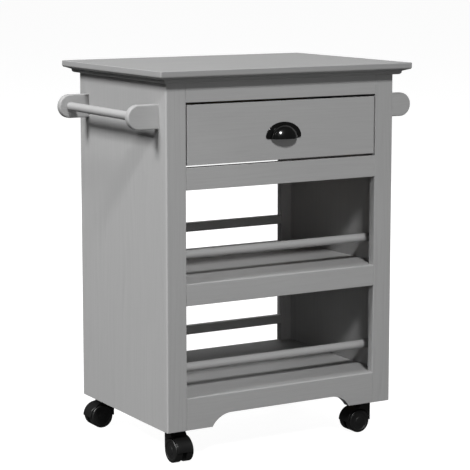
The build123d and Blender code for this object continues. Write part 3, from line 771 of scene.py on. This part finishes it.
def hood(corner):
    """The cover: a round back, a squared block at the kingpin, and an open cavity for each wheel."""
    node = f"castor_hood_{corner}"
    centre, towards, axle = castor_axes(corner)
    lo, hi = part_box(node)
    radius, block = sorted(abs((p - centre).dot(towards)) for p in (lo, hi))
    half = max(abs((p - centre).dot(axle)) for p in (lo, hi))
    rings = []
    for t, z in hood_outline(block, radius, hi.z - centre.z):
        reach = math.hypot(t, z)
        outwards = towards * (t / reach) + Vector((0, 0, z / reach))
        section = [(BOSS * WEB_INNER_SHARE, WEB_HALF), (HOOD_BORE, WEB_HALF),
                   (HOOD_BORE, half - HOOD_CHAMFER), (HOOD_BORE + HOOD_CHAMFER, half)]
        rim = min(HOOD_ROUND, (reach - HOOD_BORE) * HOOD_WALL_SHARE)
        section += [(out, along) for along, out in arc((half - rim, reach - rim), rim, 0, 90, 5)]
        section += [(out, -along) for out, along in reversed(section)]
        rings.append([centre + outwards * out + axle * along for out, along in section])
    boss_profile = [(-WEB_HALF, 0), (-WEB_HALF, BOSS - HOOD_CHAMFER), (HOOD_CHAMFER - WEB_HALF, BOSS),
                    (WEB_HALF - HOOD_CHAMFER, BOSS), (WEB_HALF, BOSS - HOOD_CHAMFER), (WEB_HALF, 0)]
    verts, faces = merged(skin(rings), lathe(centre, axle, boss_profile))
    return finish_piece(f"{node}_shell", verts, faces, hood_black, [node], 32)


def wheel(corner, letter):
    """A wheel with rounded tread corners, a sunk ring in its outer face and a domed cap."""
    node = f"castor_wheel_{corner}_{letter}"
    centre, _, axle = castor_axes(corner)
    lo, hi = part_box(node)
    sign = 1 if ((lo + hi) / 2 - centre).dot(axle) > 0 else -1
    near, far = sorted(abs((p - centre).dot(axle)) for p in (lo, hi))
    radius = (hi.z - lo.z) / 2
    profile = [(near, 0)]
    for s, c in quarter(4):
        profile.append((near + WHEEL_INNER_ROUND * (1 - c), radius - WHEEL_INNER_ROUND * (1 - s)))
    for s, c in quarter(8):
        profile.append((far - WHEEL_ROUND * (1 - s), radius - WHEEL_ROUND * (1 - c)))
    profile += [(far - depth * MM, out * MM) for depth, out in WHEEL_FACE]
    verts, faces = lathe(centre, axle * sign, profile, 64)
    return finish_piece(f"{node}_turned", verts, faces, wheel_black, [node], 40)


CORNERS = ("front_left", "front_right", "back_left", "back_right")
for corner in CORNERS:
    hood(corner)
    for letter in ("a", "b"):
        wheel(corner, letter)

# ------------------------------------------------------------------ materials of the CAD nodes that stay
block_pine = bare_wood("block_pine", "X", 45, *PINE_COLOURS)
runner_pine = bare_wood("runner_pine", "Y", 42, *PINE_COLOURS)
drawer_side_pine = bare_wood("drawer_side_pine", "Y", 43, *PINE_COLOURS)
kept = {
    "shelf_cleats": bare_wood("cleat_pine", "Y", 41, *PINE_COLOURS),
    "drawer_runner_left": runner_pine,
    "drawer_runner_right": runner_pine,
    "drawer_side_left": drawer_side_pine,
    "drawer_side_right": drawer_side_pine,
    "drawer_back": bare_wood("drawer_back_pine", "X", 44, *PINE_COLOURS),
    "drawer_bottom": hardboard,
    "top_blocks": block_pine,
    "castor_blocks": block_pine,
    "frame_dowels": bare_wood("beech_x", "X", 46, *BEECH_COLOURS),
    "drawer_dowels": bare_wood("beech_y", "Y", 47, *BEECH_COLOURS),
    "wood_screws": zinc,
    "cup_pull_screws": zinc,
    "castor_screws": zinc,
    "castor_plates": zinc_sheet,
    "castor_kingpins": steel,
}
kept.update({f"castor_axle_{corner}": steel for corner in CORNERS})
for node, mat in kept.items():
    slots = nodes[node].data.materials
    for i in range(len(slots)):
        slots[i] = mat
    if not slots:
        slots.append(mat)

# ------------------------------------------------------------------ floor and backdrop
WHITE = (1, 1, 1, 1)


def glowing(name, points, faces, base, strength):
    """A piece of the white surround and its shader. It adds nothing to diffuse or glossy light."""
    mesh = bpy.data.meshes.new(name)
    mesh.from_pydata(points, [], faces)
    mat, _, bsdf = new_material(name)
    bsdf.inputs["Base Color"].default_value = (*grey(base), 1)
    bsdf.inputs["Emission Color"].default_value = WHITE
    bsdf.inputs["Emission Strength"].default_value = strength
    mesh.materials.append(mat)
    thing = bpy.data.objects.new(name, mesh)
    scene.collection.objects.link(thing)
    thing.visible_diffuse = False
    thing.visible_glossy = False
    return thing, bsdf


FLOOR_REACH = 60
floor_points = [(x * FLOOR_REACH, y * FLOOR_REACH, 0) for x, y in ((-1, -1), (1, -1), (1, 1), (-1, 1))]
floor, floor_bsdf = glowing("floor", floor_points, [(0, 1, 2, 3)], base=0.2, strength=0.95)
floor_bsdf.inputs["Roughness"].default_value = 0.9
floor_bsdf.inputs["Specular IOR Level"].default_value = 0.1

WALL_REACH, WALL_LOW, WALL_HIGH, WALL_SIDES = 50, -1, 40, 32
wall_turns = [2 * math.pi * i / WALL_SIDES for i in range(WALL_SIDES)]
wall_rings = [
    [(WALL_REACH * math.cos(turn), WALL_REACH * math.sin(turn), z) for turn in wall_turns]
    for z in (WALL_LOW, WALL_HIGH)
]
wall, _ = glowing("backdrop", *joined_rings(wall_rings), base=0.8, strength=1.0)
wall.visible_shadow = False

# ------------------------------------------------------------------ light
WORLD_LEVEL = 0.07
world = bpy.data.worlds.new("studio")
scene.world = world
world.use_nodes = True
background = world.node_tree.nodes["Background"]
background.inputs["Color"].default_value = WHITE
background.inputs["Strength"].default_value = WORLD_LEVEL


def area_light(name, travel, distance, size, level, target=(0, 0, 0.45), glossy=True):
    """A square light that shines along travel at a target. A white card facing it there shows that level."""
    direction = Vector(travel).normalized()
    data = bpy.data.lights.new(name, "AREA")
    data.shape = "SQUARE"
    data.size = size
    data.energy = level * math.pi ** 2 * distance ** 2
    light = bpy.data.objects.new(name, data)
    light.location = Vector(target) - direction * distance
    light.rotation_mode = "QUATERNION"
    light.rotation_quaternion = direction.to_track_quat("-Z", "Y")
    light.visible_glossy = glossy
    scene.collection.objects.link(light)


area_light("key_left", travel=(1, 0.02, -0.95), distance=8.5, size=2.2, level=1.18)
area_light("key_front", travel=(0.3, 1, -0.92), distance=7.0, size=0.8, level=0.69)
area_light("fill_front", travel=(0.1, 1, 0.0), distance=1.8, size=1.4, level=0.17, target=(0, 0, 0.35),
           glossy=False)
area_light("fill_back", travel=(-0.45, -1, -0.35), distance=4.0, size=2.5, level=0.36, glossy=False)
area_light("fill_right", travel=(-1, -0.15, -0.15), distance=5.0, size=3.0, level=0.36, glossy=False)

# ------------------------------------------------------------------ camera
CAMERA_PLACE = (-1.93024, -3.26714, 1.02207)
CAMERA_YAW, CAMERA_PITCH = math.radians(30.5698), math.radians(8.1597)     # right of +Y, and down
SENSOR_WIDTH, LENS = 36, 136.68
SHIFT_UP = -0.05                # of the picture's width

camera_data = bpy.data.cameras.new("camera")
camera_data.sensor_width = SENSOR_WIDTH
camera_data.lens = LENS
camera_data.shift_y = SHIFT_UP
camera = bpy.data.objects.new("camera", camera_data)
camera.location = CAMERA_PLACE
ahead = math.cos(CAMERA_PITCH)
look = Vector((math.sin(CAMERA_YAW) * ahead, math.cos(CAMERA_YAW) * ahead, -math.sin(CAMERA_PITCH)))
camera.rotation_mode = "QUATERNION"
camera.rotation_quaternion = look.to_track_quat("-Z", "Y")
scene.collection.objects.link(camera)
scene.camera = camera

scene.view_settings.view_transform = "Standard"
